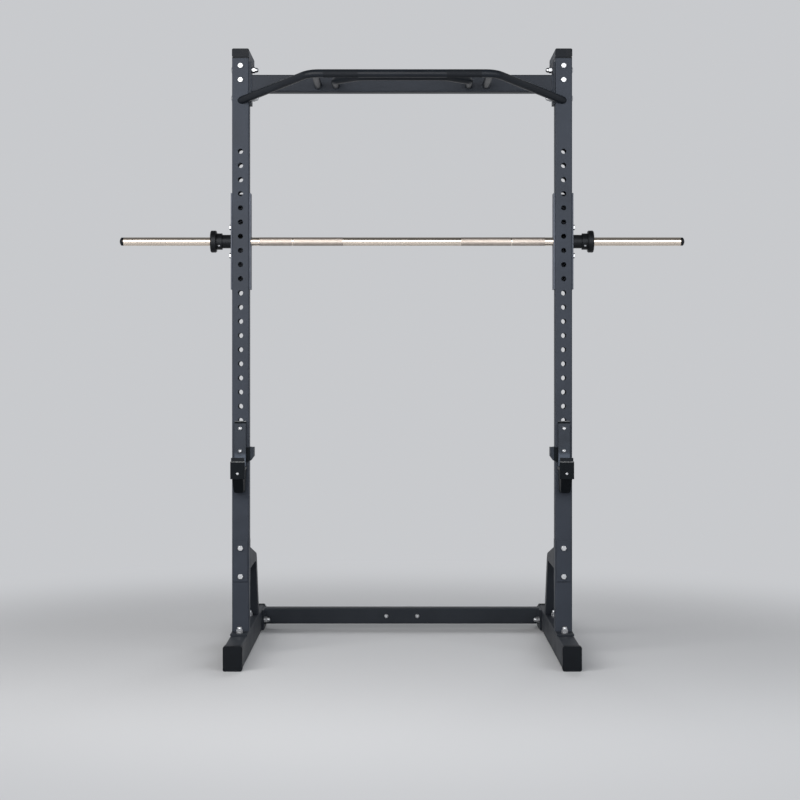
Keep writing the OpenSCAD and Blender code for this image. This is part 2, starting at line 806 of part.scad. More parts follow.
// The bar, relieved under each stop disc, so that its ends are seats of their own
module bar() {
    half = bar_len / 2 - bar_cap_t;
    bar_axis() {
        rod_x(-relief_x, relief_x, bar_d);
        for (side = sides) on_side(side) {
            rod_x(relief_x - 1, collar_end_x + 1, bar_d - 2 * relief);
            rod_x(collar_end_x, half, bar_d);
        }
    }
}

// The clamp ring and the stop disc are one turned piece
module stop_collar(side) {
    on_side(side) bar_axis() difference() {
        union() {
            rod_x(ring_x, disc_x, ring_d);
            soft_rod_x(disc_x, collar_end_x, disc_d, disc_chamfer);
        }
        rod_x(ring_x - 1, collar_end_x + 1, bar_d + 2 * seat_gap);
        set_screw_place() cylinder(d = set_screw_d + 2 * thread_gap, h = ring_d);
    }
}

// The set screw points out of the ring, down and to the front
module set_screw_place() {
    translate([ring_x + ring_len / 2, 0, 0]) rotate([125, 0, 0]) children();
}

module set_screw() {
    len = ring_d / 2 - bar_d / 2 - 1;
    set_screw_place() translate([0, 0, bar_d / 2 + fit_gap]) difference() {
        cylinder(d = set_screw_d, h = len);
        translate([0, 0, len - set_socket]) hex(set_screw_d / 2, set_socket + 1);
    }
}

module bar_end_cap() {
    half = bar_len / 2 - bar_cap_t;
    bar_axis() translate([half, 0, 0]) rotate([0, 90, 0]) intersection() {
        cylinder(d = bar_d - 2 * plug_gap, h = bar_cap_t);
        translate([0, 0, bar_cap_t - cap_dome_r]) sphere(cap_dome_r);
    }
}

// ---- Hooks, drawn about the middle of the upright's front face ----

// What is made for a hook on the right-hand upright, on the given side
module hook_frame(side) { on_side(side) translate([post_x, 0, 0]) children(); }

// The box's side view, drawn in by t; undrawn, it reaches a little into the back plate
module box_side(t) {
    low = saddle_z - hook_box_h;
    back = liner_back + (t > 0 ? -t : 1);
    polygon([
        [back, saddle_z - t],
        [nose_y + t, saddle_z - t],
        [nose_y + t, saddle_z - hook_nose_h + t / 2],
        [liner_back - hook_sole + t, low + t],
        [back, low + t]
    ]);
}

// The box as seen from the front, drawn in by t: it narrows downwards to a round end
module box_front(t) {
    low = saddle_z - hook_box_h + t;
    knee = saddle_z - hook_nose_h;
    half = concat(
        [[hook_box_w / 2 - t, saddle_z + 1]],
        rounded([[hook_box_w / 2 - t, knee], [hook_tip_w / 2 - t, low], [0, low]], box_tip_r - t)
    );
    polygon(concat(half, [for (p = backwards(half)) if (p.x > 0) [-p.x, p.y]]));
}

module saddle_box(t) {
    intersection() {
        side_view(hook_box_w) box_side(t);
        front_view(nose_y - 1, hook_reach) box_front(t);
    }
}

// The slot in the sole of the box, for coating and drainage
module box_slot() {
    w = hook_tip_w - 2 * box_tip_r;
    translate([-w / 2, liner_back - hook_sole + hook_wall, saddle_z - hook_box_h - 1])
        cube([w, hook_sole - 2 * hook_wall, hook_wall + 2]);
}

// The side plate that lies along the upright's inner side
module ear_plate() {
    top = hook_z - ear_top;
    low = top - ear_h;
    translate([-ear_x - ear_t / 2, 0, 0]) side_view(ear_t) polygon([
        [post_front + ear_len, top], [liner_back, top], [liner_back, low],
        [post_front + ear_len - ear_chamfer, low], [post_front + ear_len, low + ear_chamfer]
    ]);
}

// The wing that joins the back plate to the side plate
module ear_wing() {
    top = hook_z - ear_top;
    low = top - ear_h;
    front_view(liner_back, hook_back_t) polygon([
        [1 - hook_back_w / 2, top], [-ear_x - ear_t, top], [-ear_x - ear_t, low],
        [1 - hook_back_w / 2, low - ear_t]
    ]);
}

// The side view of a plate whose top front edge is chamfered
module upright_plate(back, front, low, top) {
    polygon([
        [back, low], [front, low], [front, top - plate_chamfer],
        [front + plate_chamfer, top], [back, top]
    ]);
}

module hook_body(side) {
    top = hook_z + hook_top;
    low = saddle_z - hook_box_h;
    hook_frame(side) difference() {
        union() {
            side_view(hook_back_w) upright_plate(hook_back, liner_back, saddle_z - 1, top);
            translate([-hook_tip_w / 2, liner_back, low])
                cube([hook_tip_w, hook_back_t, saddle_z - low]);
            difference() {
                saddle_box(0);
                saddle_box(hook_wall);
                box_slot();
            }
            ear_wing();
            ear_plate();
            translate([0, 0, hook_z]) rod_y(hook_back - 1, post_back + 4, hook_pin_d);
        }
        for (z = hook_screw_rows) translate([0, liner_back, z])
            rod_y(-1, hook_back_t - hook_thread_end + 1, hook_screw_d + 2 * fit_gap);
        translate([0, nose_y, lip_screw_z])
            rod_y(-1, hook_wall + 1, lip_screw_d + 2 * fit_gap);
    }
}

module hook_back_liner(side) {
    low = saddle_z + liner_t;
    hook_frame(side) difference() {
        translate([-hook_back_w / 2, liner_back - liner_t, low])
            cube([hook_back_w, liner_t, liner_top - low]);
        for (z = hook_screw_rows) translate([0, liner_back, z])
            rod_y(-liner_t - 1, 1, hook_screw_d + 2 * fit_gap);
    }
}

module hook_saddle_liner(side) {
    floor_top = saddle_z + liner_t;
    lip_back = nose_y + liner_t;
    corner = rounded([[lip_back, lip_top], [lip_back, floor_top], [liner_back, floor_top]],
        saddle_r);
    hook_frame(side) side_view(saddle_w) polygon(concat(
        [[liner_back, saddle_z], [nose_y, saddle_z], [nose_y, lip_top + liner_over],
            [lip_back, lip_top + liner_over]],
        corner
    ));
}

module hook_lip(side) {
    low = saddle_z - hook_nose_h;
    hook_frame(side) difference() {
        side_view(lip_w) upright_plate(nose_y, lip_y, low, lip_top);
        translate([0, lip_y, lip_screw_z]) rod_y(-1, lip_t + 1, lip_screw_d + 2 * fit_gap);
    }
}

module hook_bumper(side) {
    top = hook_z - ear_top;
    low = top - ear_h;
    near = -ear_x - ear_t;
    far = near - bumper_t;
    hook_frame(side) front_view(liner_back, ear_len - ear_chamfer / 3) polygon([
        [near, top], [far, top], [far, low + ear_h / 3], [near - bumper_t / 10, low], [near, low]
    ]);
}

// A screw with a domed head, pointing back from the given depth and height
module hook_screw(y, z, d, len) {
    translate([0, y, z]) rotate([-90, 0, 0]) button_bolt(d, len, 1.75 * d, 0.55 * d);
}

module hook_screws(side) {
    hook_frame(side) {
        for (z = hook_screw_rows)
            hook_screw(liner_back - liner_t, z, hook_screw_d, liner_t + hook_back_t - hook_thread_end);
        hook_screw(lip_y, lip_screw_z, lip_screw_d, lip_t + hook_wall);
    }
}

// ---- Fasteners in place ----

// Each hex bolt through an upright: [height, seat at the front, seat at the back]
module through_bolts(rows, front, back) {
    for (side = sides, z = rows) translate([side * post_x, front, z]) rotate([-90, 0, 0])
        hex_bolt(small_bolt_d, back - front + small_grip, small_af, small_head);
}

module behind_upright(offset) {
    for (side = sides, z = concat(arm_rows, clamp_rows))
        translate([side * post_x, post_back + arm_plate_t + offset, z]) rotate([-90, 0, 0])
            children();
}

module bracket_screws() {
    for (side = sides, z = bracket_rows) on_side(side)
        translate([flange_x, post_mid, z]) rotate([0, -90, 0])
            hex_bolt(small_bolt_d, bracket_t + tube_wall + small_nut + 2, small_af, small_head);
}

module bracket_weld_nuts() {
    for (side = sides, z = bracket_rows) on_side(side)
        translate([flange_x - bracket_t - tube_wall, post_mid, z]) rotate([0, -90, 0])
            nut(small_bolt_d, small_af, small_nut);
}

module beam_bolts() {
    for (side = sides, z = beam_rows) on_side(side)
        translate([post_x + tube_w / 2, post_mid, z]) rotate([0, -90, 0])
            button_bolt(large_bolt_d, tube_w + end_plate_t + large_grip);
}

module floor_beam_bolts() {
    for (side = sides, y = floor_bolt_ys) on_side(side)
        translate([post_x + foot_w / 2, y, floor_bolt_z]) rotate([0, -90, 0])
            button_bolt(large_bolt_d, foot_w + end_plate_t + large_grip);
}

module foot_bolts() {
    for (side = sides, y = foot_bolt_ys)
        translate([side * post_x, y, foot_top - tube_wall])
            hex_bolt(large_bolt_d, tube_wall + base_t + large_grip, large_af, large_head);
}

// Every place where a large bolt comes out, offset along the bolt
module large_ends(offset) {
    for (side = sides) on_side(side) {
        for (z = beam_rows) translate([post_inner - end_plate_t - offset, post_mid, z])
            rotate([0, -90, 0]) children();
        for (y = floor_bolt_ys) translate([foot_inner - end_plate_t - offset, y, floor_bolt_z])
            rotate([0, -90, 0]) children();
        for (y = foot_bolt_ys) translate([post_x, y, post_base + offset]) children();
    }
}

// ---- Colours ----

module coated() { color([0.2, 0.22, 0.25]) children(); }
module dark() { color([0.1, 0.11, 0.13]) children(); }
module plastic() { color([0.06, 0.06, 0.07]) children(); }
module plated() { color([0.75, 0.76, 0.78]) children(); }
module polished() { color([0.82, 0.8, 0.77]) children(); }

coated() upright(left);  // left_upright
coated() upright(right);  // right_upright
plastic() for (side = sides) translate([side * post_x, 0, 0]) upright_cap();  // upright_caps
coated() foot(left);  // left_foot
coated() foot(right);  // right_foot
plastic() for (side = sides, end = [0, 1])  // foot_caps
        translate([side * post_x, 0, 0]) mirror([0, end, 0]) foot_cap();
coated() base_plate(left);  // left_base_plate
coated() base_plate(right);  // right_base_plate
coated() brace(left);  // left_brace
coated() brace(right);  // right_brace
coated() clamp_plate(left);  // left_clamp_plate
coated() clamp_plate(right);  // right_clamp_plate
coated() top_arm(left);  // left_top_arm
coated() top_arm(right);  // right_top_arm
plastic() for (side = sides, end = [0, 1])  // arm_caps
        translate([side * post_x, post_front + arm_len / 2, 0]) mirror([0, end, 0]) arm_cap();
coated() upper_beam();
dark() pullup_front_bar();
dark() pullup_inner_bar();
dark() neutral_grip(left);  // left_neutral_grip
dark() neutral_grip(right);  // right_neutral_grip
coated() floor_beam();
plated() for (side = sides) translate([side * stud_gap / 2, 0, 0]) stud();  // floor_beam_studs
coated() bar_bracket(left);  // left_bar_bracket
coated() bar_bracket(right);  // right_bar_bracket
dark() hub(left);  // left_hub
dark() hub(right);  // right_hub
plastic() bushes(left);  // left_bushes
plastic() bushes(right);  // right_bushes
polished() bar();
dark() stop_collar(left);  // left_stop_collar
dark() stop_collar(right);  // right_stop_collar
plated() for (side = sides) on_side(side) bar_axis() set_screw();  // set_screws
plastic() for (side = sides) on_side(side) bar_end_cap();  // bar_end_caps
dark() hook_body(left);  // left_hook_body
dark() hook_body(right);  // right_hook_body
plastic() hook_back_liner(left);  // left_hook_back_liner
plastic() hook_back_liner(right);  // right_hook_back_liner
plastic() hook_saddle_liner(left);  // left_hook_saddle_liner
plastic() hook_saddle_liner(right);  // right_hook_saddle_liner
dark() hook_lip(left);  // left_hook_lip
dark() hook_lip(right);  // right_hook_lip
plastic() hook_bumper(left);  // left_hook_bumper
plastic() hook_bumper(right);  // right_hook_bumper
plated() hook_screws(left);  // left_hook_screws
plated() hook_screws(right);  // right_hook_screws
plated() through_bolts(arm_rows, post_front, post_back + arm_plate_t);  // top_bolts
plated() through_bolts(clamp_rows, post_front - clamp_t, post_back + arm_plate_t);  // brace_bolts
plated() behind_upright(small_washer_t) nut(small_bolt_d, small_af, small_nut);  // frame_nuts
plated() behind_upright(0) washer(small_bolt_d, small_washer_d, small_washer_t);  // frame_washers
plated() bracket_screws();
plated() bracket_weld_nuts();
plated() beam_bolts();
plated() foot_bolts();
plated() floor_beam_bolts();
plated() large_ends(large_washer_t) acorn_nut();  // acorn_nuts
plated() large_ends(0) washer(large_bolt_d, large_washer_d, large_washer_t);  // large_washers
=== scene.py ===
import json
import math
import bpy
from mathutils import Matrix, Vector


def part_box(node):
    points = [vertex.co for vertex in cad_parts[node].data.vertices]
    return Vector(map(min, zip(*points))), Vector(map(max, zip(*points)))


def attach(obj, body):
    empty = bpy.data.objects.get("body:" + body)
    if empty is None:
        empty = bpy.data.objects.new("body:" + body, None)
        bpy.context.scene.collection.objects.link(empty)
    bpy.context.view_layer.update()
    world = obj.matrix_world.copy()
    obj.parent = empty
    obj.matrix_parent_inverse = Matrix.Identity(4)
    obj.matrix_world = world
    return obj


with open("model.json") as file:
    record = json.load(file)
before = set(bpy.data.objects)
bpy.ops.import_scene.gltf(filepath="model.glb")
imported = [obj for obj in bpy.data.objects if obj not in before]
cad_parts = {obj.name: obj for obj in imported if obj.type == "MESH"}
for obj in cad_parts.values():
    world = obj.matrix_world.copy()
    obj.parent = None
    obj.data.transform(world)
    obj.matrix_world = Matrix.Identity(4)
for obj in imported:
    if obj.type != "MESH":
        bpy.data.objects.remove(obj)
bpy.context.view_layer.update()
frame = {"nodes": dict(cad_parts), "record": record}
nodes = frame["nodes"]

X, Y, Z = 0, 1, 2

# ---- Places and lengths, in metres ----


def span(node, axis):
    """Where a CAD node begins and ends along one axis."""
    lo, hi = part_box(node)
    return lo[axis], hi[axis]


POST_IN, POST_OUT = span("right_upright", X)
POST_FRONT, POST_BACK = span("right_upright", Y)
POST_LOW, POST_TOP = span("right_upright", Z)
BAR_Y = sum(span("bar", Y)) / 2
BAR_Z = sum(span("bar", Z)) / 2

# The bar's knurled zones and the smooth ring in each, by distance from the middle
KNURL_FROM, KNURL_TO = 0.209, 0.505
RING_FROM, RING_TO = 0.3845, 0.3895
KNURL_PITCH = 0.0028
KNURL_STARTS = 34.0
# The front pull-up bar's grip zones, by distance from the middle, and how deep the bar reaches back
GRIP_FROM, GRIP_TO = 0.150, 0.268
FRONT_BAR_DEPTH = 0.035
THREAD_PITCH = 0.0015
# From the top edge of a hook's plates down to the middle of the painted highlight along that edge
EDGE_HIGHLIGHT_DROP = 0.00125

# Sizes of part.scad that the welds follow
END_PLATE_T = 0.008
FLOOR_TUBE = 0.060
TOP_PLATE_T = 0.004
REAR_PLATE_T = 0.005
BRACE_TOP = 0.292
BRACE_ARCH = 0.216
# The welds' own sizes: a bead's radius, and how far it keeps from a tube's round corners
WELD_R = 0.0032
GRIP_WELD_R = 0.0026
WELD_INSET = 0.004

# ---- Materials ----


class Nodes:
    """A node tree, with small helpers that add nodes and join them."""

    def __init__(self, tree):
        self.t = tree

    def find(self, kind):
        return next(n for n in self.t.nodes if n.type == kind)

    def put(self, socket, v):
        if isinstance(v, bpy.types.NodeSocket):
            self.t.links.new(v, socket)
        else:
            socket.default_value = v

    def node(self, kind, ins=(), **props):
        n = self.t.nodes.new(kind)
        for k, v in props.items():
            setattr(n, k, v)
        for key, v in dict(ins).items():
            self.put(n.inputs[key], v)
        return n

    def math(self, op, a, b=0.0):
        return self.node("ShaderNodeMath", {0: a, 1: b}, operation=op).outputs[0]

    def ramp(self, fac, lo, hi, a=0.0, b=1.0, **props):
        ins = {"Value": fac, "From Min": lo, "From Max": hi, "To Min": a, "To Max": b}
        return self.node("ShaderNodeMapRange", ins, **props).outputs[0]


class Mat(Nodes):
    """A node material on one Principled shader."""

    def __init__(self, name):
        self.mat = bpy.data.materials.new(name)
        self.mat.use_nodes = True
        super().__init__(self.mat.node_tree)
        self.bsdf = self.find("BSDF_PRINCIPLED")
        self.bsdf.inputs["Specular IOR Level"].default_value = 0.3
        self.coord = self.node("ShaderNodeTexCoord").outputs["Object"]

    def noise(self, scale, detail=3.0, rough=0.55, at=None):
        ins = {"Scale": scale, "Detail": detail, "Roughness": rough, "Vector": at or self.coord}
        return self.node("ShaderNodeTexNoise", ins).outputs["Fac"]

    def stretch(self, scale):
        return self.node("ShaderNodeMapping", {"Scale": scale, "Vector": self.coord}).outputs[0]

    def mix(self, fac, a, b):
        return self.node("ShaderNodeMix", {0: fac, 6: a, 7: b}, data_type="RGBA").outputs[2]

    def axis(self):
        return self.node("ShaderNodeSeparateXYZ", {"Vector": self.coord}).outputs

    def tone(self, slow, color, spread=0.15):
        """The colour, a little darker and lighter from place to place."""
        return self.mix(self.ramp(slow, 0.3, 0.7), shade(color, 1 - spread), shade(color, 1 + spread))

    def edges(self, radius):
        """A rounded normal, and how near the surface is to an edge, from 0 to 1."""
        bevel = self.node("ShaderNodeBevel", {"Radius": radius}, samples=4).outputs[0]
        flat = self.node("ShaderNodeNewGeometry").outputs["Normal"]
        dot = self.node("ShaderNodeVectorMath", {0: bevel, 1: flat}, operation="DOT_PRODUCT")
        return bevel, self.ramp(dot.outputs["Value"], 0.995, 0.80)

    def bump(self, height, depth, strength, normal=None):
        n = self.node("ShaderNodeBump", {"Height": height, "Distance": depth, "Strength": strength})
        if normal:
            self.put(n.inputs["Normal"], normal)
        return n.outputs[0]

    def finish(self, color, rough, normal=None, metal=0.0, specular=None):
        self.put(self.bsdf.inputs["Base Color"], color)
        self.put(self.bsdf.inputs["Roughness"], rough)
        self.put(self.bsdf.inputs["Metallic"], metal)
        if normal:
            self.put(self.bsdf.inputs["Normal"], normal)
        if specular is not None:
            self.put(self.bsdf.inputs["Specular IOR Level"], specular)
        return self.mat


def rgb(r, g, b):
    """A linear colour from one as it shows on a screen, 0 to 255."""
    f = lambda c: c / 12.92 if c <= 0.04045 else ((c + 0.055) / 1.055) ** 2.4
    return (f(r / 255), f(g / 255), f(b / 255), 1.0)


def shade(c, k):
    return (c[0] * k, c[1] * k, c[2] * k, 1.0)


# The grey of the painted highlight along the hook plates' top edges
PAINTED_EDGE_HIGHLIGHT = rgb(150, 152, 154)
ZINC_LIGHT = rgb(205, 207, 210)
ZINC_DARK = rgb(168, 169, 171)
ZINC_EDGE = rgb(240, 240, 240)


def powder(name, color, rough=0.5, grain=900.0, depth=0.00012, wear_and_sheen=0.35, rub=2.6, specular=0.12,
           highlight_at=None):
    """Powder-coated steel: orange peel, slow change of tone, rubbed edges (on the black coat strong
    enough to be partly a painted highlight), small scuffs, and a painted highlight, a grey band along
    the plate edges at one given height."""
    m = Mat(name)
    soft, edge = m.edges(0.0018)
    slow = m.noise(7.0, 4.0)
    fine = m.noise(grain, 2.0)
    scuff = m.ramp(m.noise(60.0, 6.0, 0.7, m.stretch((1.0, 1.0, 0.25))), 0.66, 0.74)
    tone = m.tone(slow, color, 0.12)
    patchy = m.ramp(m.noise(45.0, 5.0, 0.65), 0.42, 0.62, 0.15, 1.0)
    # Lighter edges: edge wear, and on the black coat partly a painted highlight along the edges.
    rubbed_and_lit = m.math("MULTIPLY", edge, patchy)
    tone = m.mix(m.math("MULTIPLY", rubbed_and_lit, wear_and_sheen), tone, shade(color, rub))
    tone = m.mix(m.math("MULTIPLY", scuff, 0.18), tone, shade(color, 1.9))
    gloss = m.math("ADD", m.ramp(slow, 0.3, 0.7, rough - 0.05, rough + 0.05),
                   m.ramp(fine, 0.3, 0.7, -0.04, 0.04))
    gloss = m.math("SUBTRACT", gloss, m.math("MULTIPLY", scuff, 0.06))
    # A grey band along the plates' top edge: a painted highlight where the edge catches the light
    # from above.
    if highlight_at:
        away = m.math("ABSOLUTE", m.math("SUBTRACT", m.axis()[Z], highlight_at))
        edge_highlight = m.ramp(away, 0.0008, 0.0018, 1.0, 0.0)
        edge_highlight = m.math("MULTIPLY", edge_highlight, m.ramp(m.noise(160.0, 4.0, 0.7), 0.35, 0.55, 0.15, 0.75))
        tone = m.mix(edge_highlight, tone, PAINTED_EDGE_HIGHLIGHT)
    return m.finish(tone, gloss, m.bump(fine, depth, 0.5, soft), specular=specular)


def turned(name, color, rough, metal, grain):
    """Turned steel with fine lines round its axis."""
    m = Mat(name)
    soft, edge = m.edges(0.0008)
    lines = m.noise(1.0, 3.0, 0.6, m.stretch(grain))
    slow = m.noise(30.0, 4.0)
    tone = m.mix(m.math("MULTIPLY", edge, 0.5), m.tone(slow, color), shade(color, 2.2))
    gloss = m.ramp(slow, 0.3, 0.7, rough - 0.06, rough + 0.08)
    return m.finish(tone, gloss, m.bump(lines, 0.00004, 0.4, soft), metal)


def zinc(name):
    """Bright zinc plate on pressed heads: small grain, faint stains."""
    m = Mat(name)
    soft, edge = m.edges(0.0006)
    slow = m.noise(180.0, 5.0, 0.6)
    tone = m.mix(m.ramp(slow, 0.35, 0.7), ZINC_LIGHT, ZINC_DARK)
    tone = m.mix(m.math("MULTIPLY", edge, 0.5), tone, ZINC_EDGE)
    grain = m.bump(m.noise(1400.0, 3.0), 0.00005, 0.5, soft)
    return m.finish(tone, m.ramp(slow, 0.3, 0.7, 0.25, 0.4), grain, 1.0)


def thread(name, along):
    """Zinc plate with the thread's ridges along one axis."""
    m = Mat(name)
    soft, _ = m.edges(0.0005)
    turns = m.math("MULTIPLY", m.axis()[along], 2 * math.pi / THREAD_PITCH)
    ridges = m.bump(m.math("SINE", turns), 0.00012, 0.35, soft)
    slow = m.noise(180.0, 5.0, 0.6)
    tone = m.mix(m.ramp(slow, 0.35, 0.7), ZINC_LIGHT, ZINC_DARK)
    return m.finish(tone, m.ramp(slow, 0.3, 0.7, 0.32, 0.48), ridges, 1.0)


def plastic(name, color, rough=0.5, rub=0.0, low=None):
    """Moulded or machined plastic with a fine grain, rubbed lines where rub is above 0, and a
    pale patch just above the height low: partly wear from a barbell, partly a painted pool of light."""
    m = Mat(name)
    soft, edge = m.edges(0.0012)
    fine = m.noise(1200.0, 3.0, 0.6)
    slow = m.noise(22.0, 5.0, 0.6)
    tone = m.mix(m.math("MULTIPLY", edge, 0.3), m.tone(slow, color), shade(color, 1.8))
    if rub:
        lines = m.ramp(m.noise(90.0, 6.0, 0.7, m.stretch((0.15, 1.0, 1.0))), 0.55, 0.75)
        tone = m.mix(m.math("MULTIPLY", lines, rub), tone, shade(color, 1.9))
    # A paler patch just above the saddle: partly wear from a barbell, partly a painted pool of light.
    if low:
        wear_and_light_patch = m.math("ADD", m.ramp(m.axis()[Z], low - 0.002, low + 0.022, 1.0, 0.0),
                       m.ramp(slow, 0.3, 0.7, -0.35, 0.25))
        tone = m.mix(m.ramp(wear_and_light_patch, 0.35, 0.85, 0.0, 0.8), tone, shade(color, 2.6))
    gloss = m.ramp(slow, 0.3, 0.7, rough - 0.08, rough + 0.08)
    return m.finish(tone, gloss, m.bump(fine, 0.00008, 0.5, soft), specular=0.15)


def bar_steel(name):
    """The polished bar: two knurled zones with a smooth ring mark in each. Its warm tint is a painted
    reflection of a warm floor.
    """
    m = Mat(name)
    ax = m.axis()
    x = m.math("ABSOLUTE", ax[X])
    turn = m.math("ARCTAN2", m.math("SUBTRACT", ax[Z], BAR_Z), m.math("SUBTRACT", ax[Y], BAR_Y))

    def inside(lo, hi):
        return m.math("MULTIPLY", m.math("GREATER_THAN", x, lo), m.math("LESS_THAN", x, hi))

    zone = m.math("SUBTRACT", inside(KNURL_FROM, KNURL_TO), inside(RING_FROM, RING_TO))
    lean = m.math("MULTIPLY", ax[X], 2 * math.pi / KNURL_PITCH)
    around = m.math("MULTIPLY", turn, KNURL_STARTS)
    one = m.math("ABSOLUTE", m.math("SINE", m.math("ADD", around, lean)))
    two = m.math("ABSOLUTE", m.math("SINE", m.math("SUBTRACT", around, lean)))
    knurl = m.math("MULTIPLY", m.math("MINIMUM", one, two), zone)
    slow = m.noise(35.0, 4.0, 0.6, m.stretch((0.3, 1.0, 1.0)))
    # Both tones are tinted warm: a painted reflection of a warm wooden floor.
    smooth_warm_reflection = m.mix(m.ramp(slow, 0.3, 0.7), rgb(240, 226, 210), rgb(247, 235, 221))
    knurled_warm_reflection = m.mix(m.ramp(slow, 0.3, 0.7), rgb(186, 175, 166), rgb(198, 188, 179))
    tone = m.mix(zone, smooth_warm_reflection, knurled_warm_reflection)
    gloss = m.math("ADD", m.ramp(slow, 0.3, 0.7, 0.155, 0.175), m.math("MULTIPLY", zone, 0.33))
    return m.finish(tone, gloss, m.bump(knurl, 0.00025, 0.5), 1.0)


def grip_steel(name, color):
    """The pull-up bars: dark powder coat, with two rough grip zones on the front bar."""
    m = Mat(name)
    soft, _ = m.edges(0.0012)
    ax = m.axis()
    x = m.math("ABSOLUTE", ax[X])
    front = m.math("LESS_THAN", ax[Y], span("pullup_front_bar", Y)[0] + FRONT_BAR_DEPTH)
    zone = m.math("MULTIPLY", m.math("GREATER_THAN", x, GRIP_FROM),
                  m.math("LESS_THAN", x, GRIP_TO))
    zone = m.math("MULTIPLY", zone, front)
    slow = m.noise(9.0, 4.0)
    fine = m.noise(1100.0, 2.0)
    tone = m.mix(zone, m.tone(slow, color), shade(color, 0.7))
    gloss = m.math("ADD", m.ramp(slow, 0.3, 0.7, 0.34, 0.42), m.math("MULTIPLY", zone, 0.28))
    height = m.math("MULTIPLY", fine, m.math("ADD", 1.0, m.math("MULTIPLY", zone, 3.0)))
    return m.finish(tone, gloss, m.bump(height, 0.00012, 0.6, soft), specular=0.18)


SLATE = rgb(57, 62, 71)
BLACK = rgb(10, 15, 20)
# The black coat's strong lighter edges are partly edge wear and partly a painted highlight along the
# plates' edges.
BLACK_COAT = {"rough": 0.6, "wear_and_sheen": 0.9, "rub": 6.0, "specular": 0.1}
slate = powder("slate_powder_coat", SLATE)
slate_weld = powder("slate_weld", shade(SLATE, 0.85), rough=0.38, grain=1500.0, depth=0.0002)
# A lighter slate on the bar's brackets: painted light where the lamps fall brightest.
slate_bracket_painted_light = powder("slate_coat_bracket_painted_light", rgb(92, 97, 108), specular=0.15)
# A darker slate on the upper beam: painted shade from the pull-up bars in front of it.
slate_beam_painted_shade = powder("slate_coat_beam_painted_shade", rgb(47, 51, 58), wear_and_sheen=0.2)
# A darker slate on the feet, base plates, braces and floor beam: painted shade low down.
slate_low_painted_shade = powder("slate_coat_low_painted_shade", rgb(44, 48, 54))
grip_coat = grip_steel("grip_powder_coat", rgb(24, 28, 34))
black_coat = powder("black_powder_coat", BLACK, **BLACK_COAT)
# The hook plates' black coat, with a painted highlight along their top edges
black_lip_lit_edge = powder("black_coat_lip_painted_highlight", BLACK, **BLACK_COAT,
                   highlight_at=span("left_hook_lip", Z)[1] - EDGE_HIGHLIGHT_DROP)
black_body_lit_edge = powder("black_coat_plate_painted_highlight", BLACK, **BLACK_COAT,
                    highlight_at=span("left_hook_body", Z)[1] - EDGE_HIGHLIGHT_DROP)
black_turned = turned("black_oxide_turned", rgb(27, 29, 32), 0.42, 0.6, (1600.0, 4.0, 4.0))
chrome = bar_steel("bar_chrome")
plated = zinc("zinc_plate")
plated_y = thread("zinc_thread_y", Y)
cap_plastic = plastic("cap_plastic", rgb(12, 16, 21))
arm_plastic = plastic("arm_cap_plastic", rgb(17, 21, 27))
back_liner = plastic("back_liner_nylon", rgb(54, 59, 67), 0.55, rub=0.3,
                     low=span("left_hook_saddle_liner", Z)[1])
bumper = plastic("bumper_plastic", rgb(46, 51, 59))
liner = plastic("liner_nylon", rgb(20, 24, 29), rub=0.3)
bush = plastic("bush_nylon", rgb(30, 30, 32), 0.4)

LOOK = {
    "bar": chrome,
    "upper_beam": slate_beam_painted_shade,
    "floor_beam": slate_low_painted_shade,
    "upright_caps": arm_plastic,
    "arm_caps": arm_plastic,
    "foot_caps": cap_plastic,
    "bar_end_caps": cap_plastic,
    "top_bolts": plated_y,
    "brace_bolts": plated_y,
}
BOTH_SIDES_LOOK = {
    "foot": slate_low_painted_shade,
    "base_plate": slate_low_painted_shade,
    "brace": slate_low_painted_shade,
    "bar_bracket": slate_bracket_painted_light,
    "hook_lip": black_lip_lit_edge,
    "hook_body": black_body_lit_edge,
    "hook_back_liner": back_liner,
    "hook_bumper": bumper,
}
for side in ("left", "right"):
    for name, look in BOTH_SIDES_LOOK.items():
        LOOK[side + "_" + name] = look
SLOT_LOOK = {
    "slate_coated_steel": slate,
    "grip_coated_steel": grip_coat,
    "black_coated_steel": black_coat,
    "black_turned_steel": black_turned,
    "plated_steel": plated,
    "liner_plastic": liner,
    "bush_plastic": bush,
}
for part in frame["record"]["subparts"]:
    look = LOOK.get(part["node"]) or SLOT_LOOK[part["material_slot"]]
    mesh = nodes[part["node"]].data
    mesh.materials.clear()
    mesh.materials.append(look)

# ---- Weld beads ----

BEAD_SIDES = 8
BEAD_STEP = 0.0011
RIPPLE_PITCH = 0.0034


def ring_frame(tangent):
    """Two directions square to the tangent and to each other."""
    side = Vector((0, 0, 1)) if abs(tangent.z) < 0.9 else Vector((1, 0, 0))
    u = tangent.cross(side).normalized()
    return u, tangent.cross(u).normalized()


